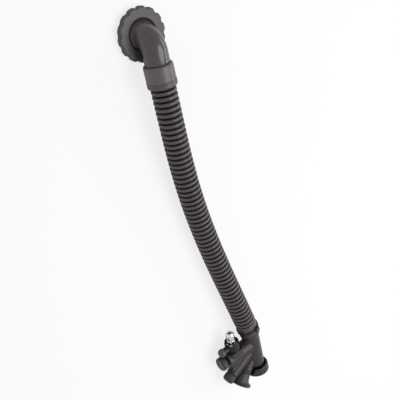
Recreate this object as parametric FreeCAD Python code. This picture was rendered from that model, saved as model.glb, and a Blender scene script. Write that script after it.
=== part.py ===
"""Inflator hose of a diver's buoyancy jacket, laid on a table. Millimetres, +Z up.

The origin is the centre of the retaining nut's mouth, on the table. The hose runs towards +X.
"""
import FreeCAD, Part
import math
import os

Vector = FreeCAD.Vector

# ---------------------------------------------------------------- corrugated hose
hose_route = [
    (36.2, 0.0, 26.0),
    (94.0, 0.0, 26.0),
    (158.0, 2.6, 21.6),
    (222.0, 8.0, 18.4),
    (286.0, 17.2, 17.0),
    (350.0, 28.6, 18.0),
    (413.0, 41.2, 20.5),
    (475.0, 54.2, 20.5),
]
hose_radius = 15.75
hose_bore_radius = 13.6
run_share_per_arc = 0.45
spigot_clearance = 0.1
upper_cuff_radius = 18.7
upper_cuff_length = 6.8
upper_cuff_taper = 2.5

# ---------------------------------------------------------------- elbow, gasket and nut
elbow_pipe_radius = 15.6
elbow_wall = 4.2
elbow_bend_radius = 20.0
elbow_foot_radius = 18.6
elbow_foot_height = 6.0
elbow_spigot_length = 15.0
flange_radius = 24.6
flange_thickness = 1.6
flange_fillet = 0.6
flange_side_clearance = 0.7
flange_lip_clearance = 0.2
gasket_thickness = 1.4
gasket_edge_margin = 0.8
gasket_inner_radius = 13.0
nut_radius = 32.8
nut_foot_radius = 28.8
nut_foot_height = 4.5
nut_lip_thickness = 2.6
nut_opening_radius = 19.4
nut_thread_radius = 25.0
nut_thread_relief = 0.2
nut_lobe_count = 14
nut_scallop_depth = 1.8
nut_scallop_radius = 5.5
nut_edge_chamfer = 1.2

# ---------------------------------------------------------------- collar and lower tie
collar_radius = 18.4
collar_length = 20.0
collar_front_wall = 2.0
collar_clearance = 0.1
hose_end_gap = 0.2
tie_thickness = 1.2
tie_clearance = 0.05
tie_width = 5.0
tie_setback = 11.0
tie_head_length = 8.0
tie_head_height = 3.0
tie_head_width = 6.5
tie_head_angle = 15.0

# ---------------------------------------------------------------- inflator body
duct_radius = 13.5
duct_bore_radius = 10.5
duct_length = 62.0
duct_end_chamfer = 1.2
neck_spigot_length = 20.0
neck_shoulder_radius = 15.8
neck_shoulder_length = 3.0
neck_taper_length = 3.5
oral_seat_from_end = 24.5
oral_seat_thickness = 2.5
oral_seat_hole_radius = 7.0

barrel_radius = 12.0
barrel_from_end = 39.0
barrel_length = 52.0
barrel_mouth_radius = 8.0
barrel_mouth_depth = 7.0
barrel_bore_radius = 6.0
barrel_bore_end = 25.0

nipple_from_barrel_end = 16.2
seat_block_half_width = 12.0
seat_block_half_height = 11.5
seat_block_fillet = 3.0

outlet_from_end = 30.4
outlet_start_y = 2.0
outlet_angle = 65.0
outlet_radius = 9.2
outlet_shorter_than_barrel = 1.5
outlet_bore_radius = 4.5
outlet_counterbore_radius = 7.0
outlet_counterbore_depth = 9.0
cross_passage_radius = 1.6
web_thickness = 11.0
web_setback = 2.5

arm_from_end = 18.0
arm_angle = 50.0
arm_root_radius = 8.8
arm_radius = 10.0
arm_length = 28.0
arm_bore_radius = 6.5
arm_bore_start = 8.0
arm_spigot_radius = 8.4
arm_spigot_length = 14.0

# ---------------------------------------------------------------- quick connect nipple
guard_radius = 11.0
guard_wall = 1.6
guard_depth = 15.0
guard_base = 2.0
guard_notch_count = 4
guard_notch_width = 4.5
guard_notch_depth = 3.0
guard_pad_radius = 5.2
guard_pad_height = 5.5
stud_head_radius = 6.4
stud_head_height = 9.0
stud_dome = 3.0
stud_edge = 1.0
stud_shank_radius = 2.0
stud_shank_length = 2.4
stud_from_block = 5.6

nipple_shank_radius = 4.5
nipple_shank_length = 7.0
nipple_hex_across_flats = 15.6
nipple_hex_length = 9.0
nipple_waist_radius = 5.8
nipple_waist_length = 1.5
nipple_collar_radius = 6.5
nipple_collar_length = 5.0
nipple_groove_radius = 5.3
nipple_groove_length = 3.5
nipple_land_radius = 6.2
nipple_land_length = 6.5
nipple_tip_radius = 4.4
nipple_tip_length = 3.0
nipple_bore_radius = 2.5
filter_thickness = 2.0
filter_setback = 4.0
thread_clearance = 0.05
o_ring_side_gap = 0.1

# ---------------------------------------------------------------- inflate valve
stem_radius = 2.2
stem_clearance = 0.05
inflate_travel = 2.5
button_gap_when_pressed = 1.0
inflate_button_radius = 10.5
inflate_button_length = 9.5
button_top_thickness = 3.0
inflate_button_wall = 2.3
button_boss_radius = 3.8
button_grip_count = 24
button_grip_depth = 0.5
button_grip_radius = 0.9
dome_share = 1.6
stem_grip_length = 4.0
bonnet_thickness = 3.5
seat_thickness = 2.8
seat_hole_radius = 3.2
poppet_radius = 4.6
poppet_thickness = 1.4
poppet_seal_thickness = 0.8
poppet_gap = 0.2
stem_o_ring_wire = 0.85
inflate_spring_radius = 5.9
inflate_spring_wire = 0.65
inflate_spring_turns = 4
spring_end_gap = 0.3

# ---------------------------------------------------------------- outlet hand cap
cap_radius = 8.8
cap_length = 12.5
cap_face_gap = 0.3
cap_top_thickness = 4.0
cap_rounding = 2.5
cap_edge = 1.0
cap_grip_count = 20
cap_grip_depth = 0.6
cap_grip_radius = 1.0
cap_o_ring_wire = 0.65
cap_o_ring_setback = 1.6

# ---------------------------------------------------------------- oral valve
oral_travel = 2.5
oral_button_gap = 1.5
oral_button_side_gap = 2.2
oral_button_length = 14.0
oral_button_wall = 2.8
oral_button_arm_gap = 2.0
oral_button_rounding = 2.5
end_cap_thickness = 4.5
oral_disc_radius = 9.2
oral_disc_thickness = 2.6
oral_disc_gap = 0.3
oral_stem_tail = 1.6
oral_spring_radius = 8.0
oral_spring_wire = 0.7
oral_spring_turns = 5

# ---------------------------------------------------------------- rubber mouthpiece
mouth_gap = 0.3
mouth_root_radius = 10.2
mouth_end_radius = 13.2
mouth_length = 22.2
mouth_bore_radius = 6.9
mouth_spigot_clearance = 0.1
lip_angle = 37.0
lip_half_width = 14.6
lip_thickness = 3.2
lip_rounding = 1.3
mouth_tie_setback = 2.2
mouth_tie_width = 2.6
mouth_tie_thickness = 0.9
mouth_tie_clearance = 0.05

# ---------------------------------------------------------------- places worked out from the sizes
route = [Vector(*point) for point in hose_route]
hose_start = route[0]
neck_point = route[-1]
neck_axis = (route[-1] - route[-2]).normalize()
table_height = 0.0

base_height = hose_start.z - elbow_bend_radius
flange_top = base_height + flange_thickness
nut_lip_underside = flange_top + flange_lip_clearance
nut_height = nut_lip_underside + nut_lip_thickness
gasket_bottom = base_height - gasket_thickness
nut_thread_depth = gasket_bottom - nut_thread_relief

collar_start = hose_start.x - hose_end_gap - collar_front_wall
collar_end = collar_start + collar_length
spigot_radius = hose_bore_radius - spigot_clearance

barrel_from_neck = duct_length - barrel_from_end
outlet_start_x = duct_length - outlet_from_end
outlet_length = barrel_length - outlet_shorter_than_barrel
arm_from_neck = duct_length - arm_from_end
nipple_offset = barrel_length - nipple_from_barrel_end
seat_block_face = barrel_from_neck - barrel_radius
guard_rim = seat_block_face - guard_depth
nipple_seat = seat_block_face - guard_base
stud_from_neck = seat_block_face - stud_from_block
oral_seat_from_neck = duct_length - oral_seat_from_end
oral_seat_end = oral_seat_from_neck + oral_seat_thickness
oral_button_radius = duct_radius + oral_button_side_gap + oral_button_wall
lip_half_height = neck_point.z - table_height


# ---------------------------------------------------------------- shapes used by many pieces
def at(x, y, z=0.0):
    """A point of the inflator, counted from the end of the hose."""
    return neck_point + Vector(x, y, z)


def along(origin, direction, distance):
    return origin + direction * distance


def rod(radius, start, direction, length):
    return Part.makeCylinder(radius, length, start, direction)


def tube(outer, inner, start, direction, length):
    return rod(outer, start, direction, length).cut(rod(inner, start, direction, length))


def turned(profile, origin, direction):
    """A solid of revolution: profile is a closed outline of (distance along the axis, radius)."""
    corners = [Vector(radius, 0, distance) for distance, radius in profile]
    face = Part.Face(Part.makePolygon(corners + corners[:1]))
    solid = face.revolve(Vector(0, 0, 0), Vector(0, 0, 1), 360)
    solid.Placement = FreeCAD.Placement(origin, FreeCAD.Rotation(Vector(0, 0, 1), direction))
    return solid


def ring_of_wire(ring_radius, wire_radius, centre, direction):
    return Part.makeTorus(ring_radius, wire_radius, centre, direction)


def around(direction, count, start_angle=0.0):
    """Unit vectors square to a direction, evenly spaced in a circle about it."""
    turn = FreeCAD.Rotation(Vector(0, 0, 1), direction)
    angles = [start_angle + 2 * math.pi * index / count for index in range(count)]
    return [turn.multVec(Vector(math.cos(angle), math.sin(angle), 0)) for angle in angles]


def cut_grips(solid, start, direction, length, radius, count, depth, grip_radius):
    """Long shallow flutes round a knob."""
    for outward in around(direction, count):
        centre = start + outward * (radius + grip_radius - depth)
        solid = solid.cut(rod(grip_radius, centre, direction, length))
    return solid


def coil(origin, direction, radius, wire_radius, length, turns):
    """A compression spring's helix, with its wire's outside inside the given length."""
    height = length - 2 * wire_radius
    helix = Part.makeHelix(height / turns, height, radius)
    section = Part.Wire([Part.makeCircle(wire_radius, Vector(radius, 0, 0), Vector(0, 1, 0))])
    solid = Part.Wire(helix.Edges).makePipeShell([section], True, True)
    solid.Placement = FreeCAD.Placement(
        along(origin, direction, wire_radius), FreeCAD.Rotation(Vector(0, 0, 1), direction)
    )
    return solid


# ---------------------------------------------------------------- shoulder end
def retaining_nut():
    """Scalloped nut: threaded mouth in a tapered foot, and a lip that holds the elbow's flange."""
    relief_radius = flange_radius + flange_side_clearance
    nut = turned(
        [
            (0, nut_thread_radius),
            (0, nut_foot_radius),
            (nut_foot_height, nut_radius),
            (nut_height - nut_edge_chamfer, nut_radius),
            (nut_height, nut_radius - nut_edge_chamfer),
            (nut_height, nut_opening_radius),
            (nut_lip_underside, nut_opening_radius),
            (nut_lip_underside, relief_radius),
            (nut_thread_depth, relief_radius),
            (nut_thread_depth, nut_thread_radius),
        ],
        Vector(0, 0, table_height),
        Vector(0, 0, 1),
    )
    scallop_centre = nut_radius + nut_scallop_radius - nut_scallop_depth
    for outward in around(Vector(0, 0, 1), nut_lobe_count):
        nut = nut.cut(rod(nut_scallop_radius, outward * scallop_centre, Vector(0, 0, 1), nut_height))
    return nut


def flange_gasket():
    outer = min(flange_radius, nut_thread_radius) - gasket_edge_margin
    return tube(outer, gasket_inner_radius, Vector(0, 0, gasket_bottom), Vector(0, 0, 1), gasket_thickness)


def quarter_bend(radius):
    """A quarter of a ring of round section, from straight up at the origin to level at the outlet."""
    section = Part.Face(Part.Wire([Part.makeCircle(radius, Vector(0, 0, base_height), Vector(0, 0, 1))]))
    centre = Vector(elbow_bend_radius, 0, base_height)
    return section.revolve(centre, Vector(0, 1, 0), 90)


def elbow():
    """Right-angle pipe with a flange for the nut, a tapered foot and a spigot for the hose."""
    level = Vector(1, 0, 0)
    bore_radius = elbow_pipe_radius - elbow_wall
    outlet = Vector(elbow_bend_radius, 0, hose_start.z)
    pipe_end = hose_start.x - hose_end_gap
    flange = rod(flange_radius, Vector(0, 0, base_height), Vector(0, 0, 1), flange_thickness)
    flange = flange.makeFillet(flange_fillet, [flange.Edges[0]])
    foot_place = Vector(0, 0, flange_top)
    foot = Part.makeCone(elbow_foot_radius, elbow_pipe_radius, elbow_foot_height, foot_place)
    solid = flange.fuse([foot, quarter_bend(elbow_pipe_radius)])
    solid = solid.fuse(rod(elbow_pipe_radius, outlet, level, pipe_end - elbow_bend_radius))
    spigot_length = pipe_end - elbow_bend_radius + elbow_spigot_length
    solid = solid.fuse(rod(spigot_radius, outlet, level, spigot_length))
    solid = solid.cut(quarter_bend(bore_radius))
    solid = solid.cut(rod(bore_radius, outlet, level, spigot_length))
    return solid.removeSplitter()


def hose_collar():
    """Smooth sleeve that clamps the hose on the elbow's spigot."""
    inner = hose_radius + collar_clearance
    hole = elbow_pipe_radius + collar_clearance
    edge = collar_front_wall / 3
    return turned(
        [
            (0, hole),
            (0, collar_radius - edge),
            (edge, collar_radius),
            (collar_length, collar_radius),
            (collar_length, inner),
            (collar_front_wall, inner),
            (collar_front_wall, hole),
        ],
        Vector(collar_start, 0, hose_start.z),
        Vector(1, 0, 0),
    )


def rounded_path(points):
    """Straight runs joined by tangent arcs; each arc is as large as its two runs allow."""
    edges = []
    radii = []
    last = points[0]
    for before, corner, after in zip(points, points[1:], points[2:]):
        back = before - corner
        ahead = after - corner
        reach = run_share_per_arc * min(back.Length, ahead.Length)
        half_turn = (math.pi - back.getAngle(ahead)) / 2
        radius = reach / math.tan(half_turn)
        radii.append(radius)
        back.normalize()
        ahead.normalize()
        middle = (back + ahead).normalize()
        arc_start = along(corner, back, reach)
        arc_end = along(corner, ahead, reach)
        centre_distance = radius / math.cos(half_turn)
        arc_middle = along(corner, middle, centre_distance - radius)
        edges.append(Part.LineSegment(last, arc_start).toShape())
        edges.append(Part.Arc(arc_start, arc_middle, arc_end).toShape())
        last = arc_end
    edges.append(Part.LineSegment(last, points[-1]).toShape())
    return Part.Wire(edges), radii


def corrugated_hose():
    """The hose as a plain tube along its route, with the moulded bead of its upper cuff."""
    path, radii = rounded_path(route)
    print("hose length", round(path.Length, 1), "arc radii", [round(radius) for radius in radii])
    first_run = (route[1] - route[0]).normalize()

    def swept(radius):
        section = Part.Wire([Part.makeCircle(radius, hose_start, first_run)])
        return path.makePipeShell([section], True, True)

    hose = swept(hose_radius).cut(swept(hose_bore_radius))
    section_area = math.pi * (hose_radius**2 - hose_bore_radius**2)
    print("hose volume", round(hose.Volume), "section times length", round(section_area * path.Length))
    bead_start = Vector(collar_end + hose_end_gap, 0, hose_start.z)
    bead_inner = (hose_radius + hose_bore_radius) / 2
    bead = turned(
        [
            (0, bead_inner),
            (0, upper_cuff_radius),
            (upper_cuff_length, upper_cuff_radius),
            (upper_cuff_length + upper_cuff_taper, hose_radius),
            (upper_cuff_length + upper_cuff_taper, bead_inner),
        ],
        bead_start,
        first_run,
    )
    return hose.fuse(bead)


def lower_hose_tie():
    """Plastic tie round the lower cuff; its head stands on the upper side."""
    inner = hose_radius + tie_clearance
    start = along(neck_point, neck_axis, -tie_setback)
    band = tube(inner + tie_thickness, inner, start, neck_axis, tie_width)
    head = Part.makeBox(tie_head_width, tie_head_length, tie_head_height + tie_thickness)
    head.translate(Vector((tie_width - tie_head_width) / 2, -tie_head_length / 2, inner))
    head = head.cut(rod(inner, Vector(-tie_head_width, 0, 0), Vector(1, 0, 0), 3 * tie_head_width))
    head.rotate(Vector(0, 0, 0), Vector(1, 0, 0), -tie_head_angle)
    heading = math.degrees(math.atan2(neck_axis.y, neck_axis.x))
    head.rotate(Vector(0, 0, 0), Vector(0, 0, 1), heading)
    head.translate(start)
    return band.fuse(head)


# ---------------------------------------------------------------- inflator body
forward = Vector(1, 0, 0)
sideways = Vector(0, -1, 0)
outlet_axis = Vector(math.cos(math.radians(outlet_angle)), -math.sin(math.radians(outlet_angle)), 0)
arm_axis = Vector(math.cos(math.radians(arm_angle)), -math.sin(math.radians(arm_angle)), 0)
lip_axis = Vector(math.cos(math.radians(lip_angle)), -math.sin(math.radians(lip_angle)), 0)
outlet_root = at(outlet_start_x, -outlet_start_y)
outlet_end = along(outlet_root, outlet_axis, outlet_length)
arm_root = at(arm_from_neck, 0)
arm_end = along(arm_root, arm_axis, arm_length)
barrel_end = at(barrel_from_neck, -barrel_length)
seat_inner = barrel_length - barrel_mouth_depth - seat_thickness


def body_outside():
    """Neck, duct, power valve barrel, outlet barrel, nipple block and mouthpiece arm."""
    neck_length = neck_spigot_length + hose_end_gap + neck_shoulder_length
    neck = rod(spigot_radius, along(neck_point, neck_axis, -neck_spigot_length), neck_axis, neck_length)
    shoulder = turned(
        [
            (0, 0),
            (0, neck_shoulder_radius),
            (neck_shoulder_length, neck_shoulder_radius),
            (neck_shoulder_length + neck_taper_length, duct_radius),
            (neck_shoulder_length + neck_taper_length, 0),
        ],
        along(neck_point, neck_axis, hose_end_gap),
        neck_axis,
    )
    duct_start = duct_radius * neck_axis.y / neck_axis.x
    duct = turned(
        [
            (duct_start, 0),
            (duct_start, duct_radius),
            (duct_length - duct_end_chamfer, duct_radius),
            (duct_length, duct_radius - duct_end_chamfer),
            (duct_length, 0),
        ],
        neck_point,
        forward,
    )
    barrel = rod(barrel_radius, at(barrel_from_neck, 0), sideways, barrel_length)
    block = Part.makeBox(
        barrel_radius,
        2 * seat_block_half_width,
        2 * seat_block_half_height,
        at(seat_block_face, -nipple_offset - seat_block_half_width, -seat_block_half_height),
    )
    block = block.makeFillet(
        seat_block_fillet,
        [edge for edge in block.Edges if edge.BoundBox.XLength > barrel_radius / 2],
    )
    outlet = rod(outlet_radius, outlet_root, outlet_axis, outlet_length)
    arm = Part.makeCone(arm_root_radius, arm_radius, arm_length, arm_root, arm_axis)
    spigot = rod(arm_spigot_radius, arm_end, arm_axis, arm_spigot_length)
    return neck.fuse([shoulder, duct, barrel, block, outlet, barrel_web(), arm, spigot])


def barrel_web():
    """Web between the two barrels; the passage from the power valve to the outlet runs in it."""
    corners = [
        at(barrel_from_neck, 0),
        along(barrel_end, sideways, -web_setback),
        along(outlet_end, outlet_axis, -web_setback),
        outlet_root,
    ]
    web = Part.Face(Part.makePolygon(corners + corners[:1])).extrude(Vector(0, 0, web_thickness))
    web.translate(Vector(0, 0, -web_thickness / 2))
    return web


def body_bores():
    """Every passage of the body as one list of cutters."""
    neck_start = along(neck_point, neck_axis, -neck_spigot_length)
    chamber_start = oral_seat_end
    outlet_chamber = at(barrel_from_neck + barrel_mouth_radius - cross_passage_radius,
                        -barrel_length + barrel_mouth_depth - cross_passage_radius - poppet_gap)
    passage_end = along(outlet_root, outlet_axis,
                        outlet_length - outlet_counterbore_depth - 2 * cross_passage_radius)
    passage = passage_end - outlet_chamber
    return [
        rod(duct_bore_radius, neck_start, neck_axis, neck_spigot_length),
        Part.makeSphere(duct_bore_radius, neck_point),
        rod(duct_bore_radius, neck_point, forward, oral_seat_from_neck),
        rod(oral_seat_hole_radius, at(oral_seat_from_neck, 0), forward, oral_seat_thickness),
        rod(duct_bore_radius, at(chamber_start, 0), forward, duct_length - chamber_start),
        rod(barrel_mouth_radius, barrel_end, -sideways, barrel_mouth_depth),
        rod(barrel_bore_radius, barrel_end, -sideways, barrel_length - barrel_bore_end),
        rod(nipple_shank_radius + thread_clearance, at(seat_block_face, -nipple_offset), forward,
            barrel_radius),
        rod(outlet_bore_radius, outlet_root, outlet_axis, outlet_length),
        rod(outlet_counterbore_radius, outlet_end, -outlet_axis, outlet_counterbore_depth),
        rod(cross_passage_radius, outlet_chamber, passage, passage.Length),
        rod(arm_bore_radius, along(arm_root, arm_axis, arm_bore_start), arm_axis,
            arm_length + arm_spigot_length - arm_bore_start),
        nipple_o_ring_groove(),
    ]


def nipple_o_ring_groove():
    outer = nipple_shank_radius + 2 * stem_o_ring_wire + 2 * o_ring_side_gap
    depth = 2 * stem_o_ring_wire
    return rod(outer, at(seat_block_face, -nipple_offset), forward, depth)


def inflator_body():
    return body_outside().cut(body_bores())


# ---------------------------------------------------------------- quick connect nipple and its guard
def nipple_guard():
    """Dark cup round the nipple: notched rim, flat base, and a pad on its side for the stud."""
    centre = at(guard_rim, -nipple_offset)
    guard = rod(guard_radius, centre, forward, guard_depth)
    pad_top = guard_radius + guard_pad_height
    pad = rod(guard_pad_radius, at(stud_from_neck, -nipple_offset), sideways, pad_top)
    guard = guard.fuse(pad)
    guard = guard.cut(rod(guard_radius - guard_wall, centre, forward, guard_depth - guard_base))
    guard = guard.cut(rod(nipple_shank_radius + thread_clearance, centre, forward, guard_depth))
    hole_bottom = at(stud_from_neck, -nipple_offset - pad_top)
    guard = guard.cut(rod(stud_shank_radius + thread_clearance, hole_bottom, -sideways,
                          stud_shank_length + o_ring_side_gap))
    for direction in around(forward, guard_notch_count, math.pi / guard_notch_count):
        notch = Part.makeBox(guard_notch_depth, guard_notch_width, guard_radius)
        notch.translate(Vector(0, -guard_notch_width / 2, guard_radius / 2))
        angle = math.degrees(math.atan2(-direction.y, direction.z))
        notch.rotate(Vector(0, 0, 0), forward, angle)
        notch.translate(centre)
        guard = guard.cut(notch)
    return guard


def clip_stud():
    """Round-headed stud on the guard's side."""
    seat = at(stud_from_neck, -nipple_offset - guard_radius - guard_pad_height)
    return turned(
        [
            (-stud_shank_length, 0),
            (-stud_shank_length, stud_shank_radius),
            (0, stud_shank_radius),
            (0, stud_head_radius - stud_edge),
            (stud_edge, stud_head_radius),
            (stud_head_height - stud_dome, stud_head_radius),
            (stud_head_height - stud_dome / 3, stud_head_radius - stud_dome / 2),
            (stud_head_height, stud_head_radius / 2),
            (stud_head_height, 0),
        ],
        seat,
        sideways,
    )


def nipple_outline():
    """Stations of the nipple's outside from its shoulder to its tip, each with its radius."""
    outline = []
    place = 0.0
    for length, radius in (
        (nipple_waist_length, nipple_waist_radius),
        (nipple_collar_length, nipple_collar_radius),
        (nipple_groove_length, nipple_groove_radius),
        (nipple_land_length, nipple_land_radius),
    ):
        outline.append((place, radius))
        place += length
        outline.append((place, radius))
    outline.append((place + nipple_tip_length, nipple_tip_radius))
    return outline


def qd_nipple():
    """Quick connect nipple: threaded shank, hexagon, waist, collar, locking groove and land."""
    outline = nipple_outline()
    hexagon_end = at(nipple_seat - nipple_hex_length, -nipple_offset)
    profile = [(0, nipple_bore_radius)] + outline + [(outline[-1][0], nipple_bore_radius)]
    body = turned(profile, hexagon_end, -forward)
    hex_radius = nipple_hex_across_flats / math.sqrt(3)
    corners = [direction * hex_radius for direction in around(forward, 6)]
    hexagon = Part.Face(Part.makePolygon(corners + corners[:1])).extrude(forward * nipple_hex_length)
    hexagon.translate(hexagon_end)
    shank = rod(nipple_shank_radius, at(nipple_seat, -nipple_offset), forward, nipple_shank_length)
    solid = body.fuse([hexagon, shank])
    return solid.cut(rod(nipple_bore_radius, hexagon_end, forward, nipple_hex_length + nipple_shank_length))


def nipple_tip_place():
    return nipple_seat - nipple_hex_length - nipple_outline()[-1][0]


def nipple_o_ring():
    ring_radius = nipple_shank_radius + o_ring_side_gap + stem_o_ring_wire
    centre = at(seat_block_face + stem_o_ring_wire, -nipple_offset)
    return ring_of_wire(ring_radius, stem_o_ring_wire - thread_clearance, centre, forward)


def nipple_filter():
    start = at(nipple_tip_place() + filter_setback, -nipple_offset)
    return rod(nipple_bore_radius - thread_clearance, start, forward, filter_thickness)


# ---------------------------------------------------------------- inflate valve, in the barrel
def bonnet_o_ring_centre():
    return along(barrel_end, -sideways, bonnet_thickness / 2)


def valve_bonnet():
    """Screwed ring that closes the barrel and guides the stem."""
    half_groove = stem_o_ring_wire + o_ring_side_gap
    groove_radius = stem_radius + 2 * stem_o_ring_wire + 2 * o_ring_side_gap
    middle = bonnet_thickness / 2
    hole = stem_radius + stem_clearance
    return turned(
        [
            (0, hole),
            (0, barrel_mouth_radius - thread_clearance),
            (bonnet_thickness, barrel_mouth_radius - thread_clearance),
            (bonnet_thickness, hole),
            (middle + half_groove, hole),
            (middle + half_groove, groove_radius),
            (middle - half_groove, groove_radius),
            (middle - half_groove, hole),
        ],
        barrel_end,
        -sideways,
    )


def stem_o_ring(centre, direction):
    ring_radius = stem_radius + o_ring_side_gap + stem_o_ring_wire
    return ring_of_wire(ring_radius, stem_o_ring_wire, centre, direction)


def bonnet_o_ring():
    return stem_o_ring(bonnet_o_ring_centre(), sideways)


def valve_seat():
    start = at(barrel_from_neck, -seat_inner)
    return tube(barrel_bore_radius - thread_clearance, seat_hole_radius, start, sideways, seat_thickness)


def button_rear_distance():
    """From the barrel's end face to the back of the inflate button at rest."""
    return inflate_travel + button_gap_when_pressed


def inflate_stem():
    """Stem from the button through the bonnet and the seat to its poppet."""
    grip_end = button_rear_distance() + inflate_button_length - button_top_thickness
    poppet_top = -seat_thickness - barrel_mouth_depth - poppet_gap - poppet_seal_thickness
    return turned(
        [
            (poppet_top - poppet_thickness, 0),
            (poppet_top - poppet_thickness, poppet_radius),
            (poppet_top, poppet_radius),
            (poppet_top, stem_radius),
            (grip_end - stem_clearance, stem_radius),
            (grip_end - stem_clearance, 0),
        ],
        barrel_end,
        sideways,
    )


def poppet_seal():
    top = -seat_thickness - barrel_mouth_depth - poppet_gap
    start = along(barrel_end, sideways, top - poppet_seal_thickness)
    bore_radius = stem_radius + thread_clearance
    return tube(poppet_radius, bore_radius, start, sideways, poppet_seal_thickness)


def round_button(origin, direction, radius, length, wall, rounding, boss_depth):
    """Hollow round button with a domed edge; a boss inside grips its stem."""
    inner = radius - wall
    floor = length - button_top_thickness
    button = turned(
        [
            (0, inner),
            (0, radius - rounding / 2),
            (rounding / 2, radius),
            (length - rounding, radius),
            (length - rounding / 3, radius - rounding / 2),
            (length, radius - dome_share * rounding),
            (length, 0),
            (floor, 0),
            (floor, inner),
        ],
        origin,
        direction,
    )
    boss = tube(button_boss_radius, stem_radius + stem_clearance / 2,
                along(origin, direction, floor - boss_depth), direction, boss_depth)
    return button.fuse(boss)


def inflate_button():
    rear = along(barrel_end, sideways, button_rear_distance())
    button = round_button(rear, sideways, inflate_button_radius, inflate_button_length,
                          inflate_button_wall, inflate_button_wall, stem_grip_length)
    return cut_grips(button, rear, sideways, inflate_button_length, inflate_button_radius,
                     button_grip_count, button_grip_depth, button_grip_radius)


def inflate_spring():
    length = button_rear_distance() + inflate_button_length - button_top_thickness - 2 * spring_end_gap
    return coil(along(barrel_end, sideways, spring_end_gap), sideways, inflate_spring_radius,
                inflate_spring_wire, length, inflate_spring_turns)


# ---------------------------------------------------------------- hand cap of the outlet barrel
def outlet_cap():
    """Screwed knob that closes the outlet barrel; unscrewed by hand to rinse it."""
    plug_radius = outlet_counterbore_radius - thread_clearance
    plug_depth = outlet_counterbore_depth - cap_face_gap
    groove_half = cap_o_ring_wire + o_ring_side_gap
    groove_radius = plug_radius - 2 * cap_o_ring_wire
    bore = outlet_bore_radius
    knob_end = cap_face_gap + cap_length
    cap = turned(
        [
            (-plug_depth, bore),
            (-plug_depth, plug_radius),
            (-cap_o_ring_setback - groove_half, plug_radius),
            (-cap_o_ring_setback - groove_half, groove_radius),
            (-cap_o_ring_setback + groove_half, groove_radius),
            (-cap_o_ring_setback + groove_half, plug_radius),
            (cap_face_gap, plug_radius),
            (cap_face_gap, cap_radius - cap_edge),
            (cap_face_gap + cap_edge, cap_radius),
            (knob_end - cap_rounding, cap_radius),
            (knob_end - cap_rounding / 3, cap_radius - cap_rounding / 2),
            (knob_end, cap_radius - dome_share * cap_rounding),
            (knob_end, 0),
            (knob_end - cap_top_thickness, 0),
            (knob_end - cap_top_thickness, bore),
        ],
        outlet_end,
        outlet_axis,
    )
    return cut_grips(cap, along(outlet_end, outlet_axis, cap_face_gap), outlet_axis, cap_length,
                     cap_radius, cap_grip_count, cap_grip_depth, cap_grip_radius)


def outlet_cap_o_ring():
    plug_radius = outlet_counterbore_radius - thread_clearance
    ring_radius = plug_radius - cap_o_ring_wire
    centre = along(outlet_end, outlet_axis, -cap_o_ring_setback)
    return ring_of_wire(ring_radius, cap_o_ring_wire - thread_clearance, centre, outlet_axis)


# ---------------------------------------------------------------- oral valve, in the duct
def oral_end_cap():
    """Screwed disc in the duct's end that guides the stem and carries the spring."""
    half_groove = stem_o_ring_wire + o_ring_side_gap
    groove_radius = stem_radius + 2 * stem_o_ring_wire + 2 * o_ring_side_gap
    middle = end_cap_thickness / 2
    hole = stem_radius + stem_clearance
    rim = duct_bore_radius - thread_clearance
    return turned(
        [
            (0, hole),
            (0, rim),
            (end_cap_thickness, rim),
            (end_cap_thickness, hole),
            (middle + half_groove, hole),
            (middle + half_groove, groove_radius),
            (middle - half_groove, groove_radius),
            (middle - half_groove, hole),
        ],
        at(duct_length - end_cap_thickness, 0),
        forward,
    )


def oral_o_ring():
    return stem_o_ring(at(duct_length - end_cap_thickness / 2, 0), forward)


def oral_button_rear():
    return duct_length + oral_button_gap


def oral_disc_front():
    """The disc lies just off its seat, on the hose side."""
    return oral_seat_from_neck - oral_disc_gap


def oral_valve_disc():
    start = at(oral_disc_front() - oral_disc_thickness, 0)
    return tube(oral_disc_radius, stem_radius + thread_clearance, start, forward, oral_disc_thickness)


def oral_stem():
    """Stem from the end button to the disc, with a washer head on each side of the disc."""
    start = oral_disc_front() - oral_disc_thickness - oral_stem_tail
    end = oral_button_rear() + oral_button_length - button_top_thickness - stem_clearance
    washer_radius = 2 * stem_radius
    washer_end = oral_disc_front() + oral_stem_tail
    solid = rod(stem_radius, at(start, 0), forward, end - start)
    back = rod(washer_radius, at(start, 0), forward, oral_stem_tail)
    front = rod(washer_radius, at(oral_disc_front(), 0), forward, washer_end - oral_disc_front())
    return solid.fuse([back, front])


def deflate_button():
    """Broad end button; its skirt is scooped out on one side for the mouthpiece arm."""
    button = round_button(at(oral_button_rear(), 0), forward, oral_button_radius, oral_button_length,
                          oral_button_wall, oral_button_rounding, stem_grip_length)
    sweep = oral_travel * math.sin(math.radians(arm_angle)) / 2
    scoop_radius = max(arm_radius, mouth_root_radius) + oral_button_arm_gap + sweep
    scoop_start = at(arm_from_neck + oral_travel / 2, 0)
    return button.cut(rod(scoop_radius, scoop_start, arm_axis, arm_length + arm_spigot_length))


def oral_spring():
    length = oral_button_gap + oral_button_length - button_top_thickness - 2 * spring_end_gap
    return coil(at(duct_length + spring_end_gap, 0), forward, oral_spring_radius,
                oral_spring_wire, length, oral_spring_turns)


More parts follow.
